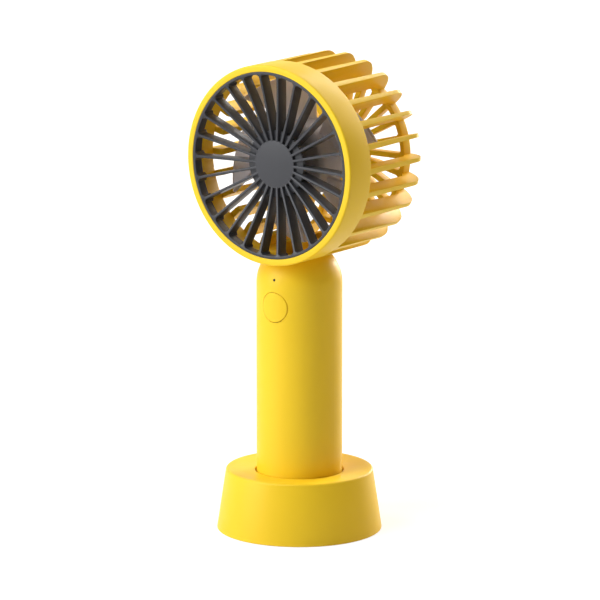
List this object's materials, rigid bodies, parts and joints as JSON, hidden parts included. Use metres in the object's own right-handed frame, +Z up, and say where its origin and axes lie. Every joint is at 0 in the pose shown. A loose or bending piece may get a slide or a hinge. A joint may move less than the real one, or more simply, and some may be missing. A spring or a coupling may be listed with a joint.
{
  "type": "handheld electric fan",
  "caption": "Handheld electric fan with a finned round head, ribbed grille, round handle with a push button, and a cone shaped desk base.",
  "frame": {"origin": "middle of the base's underside, on the surface it stands on, on the handle's axis", "axes": "+Z up along the handle's axis, -Y the way the grille and button face and the air leaves, +X to the right seen from behind the fan"},
  "size_m": [0.092, 0.0764, 0.2193],
  "materials": {
    "yellow_plastic": "matt yellow moulded plastic",
    "button_plastic": "matt yellow moulded plastic",
    "base_plastic": "matt yellow moulded plastic",
    "soft_foot": "dull black rubber",
    "screw_steel": "plated steel",
    "frame_plastic": "plain dark plastic",
    "cell_wrap": "shrink wrap",
    "nickel_strip": "nickel strip",
    "lead_skin": "soft insulation",
    "board_green": "coated circuit board",
    "socket_steel": "plated steel",
    "black_plastic": "black moulded plastic",
    "clear_plastic": "clear plastic",
    "grille_plastic": "satin dark grey plastic",
    "impeller_plastic": "frosted translucent plastic",
    "can_steel": "drawn steel",
    "magnet_black": "bonded magnet",
    "shaft_steel": "ground steel",
    "brass_turned": "turned brass",
    "core_steel": "laminated steel",
    "copper_wire": "enamelled copper"
  },
  "bodies": {
    "base": {"base_shell": "yellow_plastic", "base_plate": "base_plastic", "foot_ring": "soft_foot", "base_screws": "screw_steel"},
    "fan": {"handle_shell": "yellow_plastic", "end_cap": "yellow_plastic", "end_cap_screws": "screw_steel", "inner_frame": "frame_plastic", "battery_cell": "cell_wrap", "battery_tabs": "nickel_strip", "battery_leads": "lead_skin", "charge_board": "board_green", "charge_socket": "socket_steel", "socket_tongue": "black_plastic", "control_board": "board_green", "board_screws": "screw_steel", "board_parts": "black_plastic", "switch_body": "black_plastic", "light_pipe": "clear_plastic", "indicator_lamp": "clear_plastic", "head_band": "yellow_plastic", "cage_fins": "yellow_plastic", "head_saddle": "yellow_plastic", "back_spokes": "yellow_plastic", "motor_post": "yellow_plastic", "neck_nut": "frame_plastic", "back_cap": "yellow_plastic", "front_grille": "grille_plastic", "motor_base": "brass_turned", "motor_screws": "screw_steel", "front_bearing": "shaft_steel", "rear_bearing": "shaft_steel", "stator_core": "core_steel", "stator_coils": "copper_wire", "motor_board": "board_green", "motor_lead": "lead_skin"},
    "rotor": {"impeller": "impeller_plastic", "rotor_can": "can_steel", "rotor_magnet": "magnet_black", "motor_shaft": "shaft_steel", "shaft_collar": "black_plastic"},
    "button": {"button_cap": "button_plastic", "switch_plunger": "black_plastic"}
  },
  "joints": [
    {"name": "fan_lift", "type": "slide", "parent": "base", "child": "fan", "axis": [0, 0, 1], "range_m": [0, 0.03]},
    {"name": "impeller_spin", "type": "hinge", "parent": "fan", "child": "rotor", "pos_m": [0, 0.003, 0.1733], "axis": [0, -1, 0], "continuous": true},
    {"name": "button_press", "type": "slide", "parent": "fan", "child": "button", "axis": [0, 1, 0], "range_m": [0, 0.0006], "stiffness_N_per_m": 900, "springref_m": -0.0006}
  ]
}
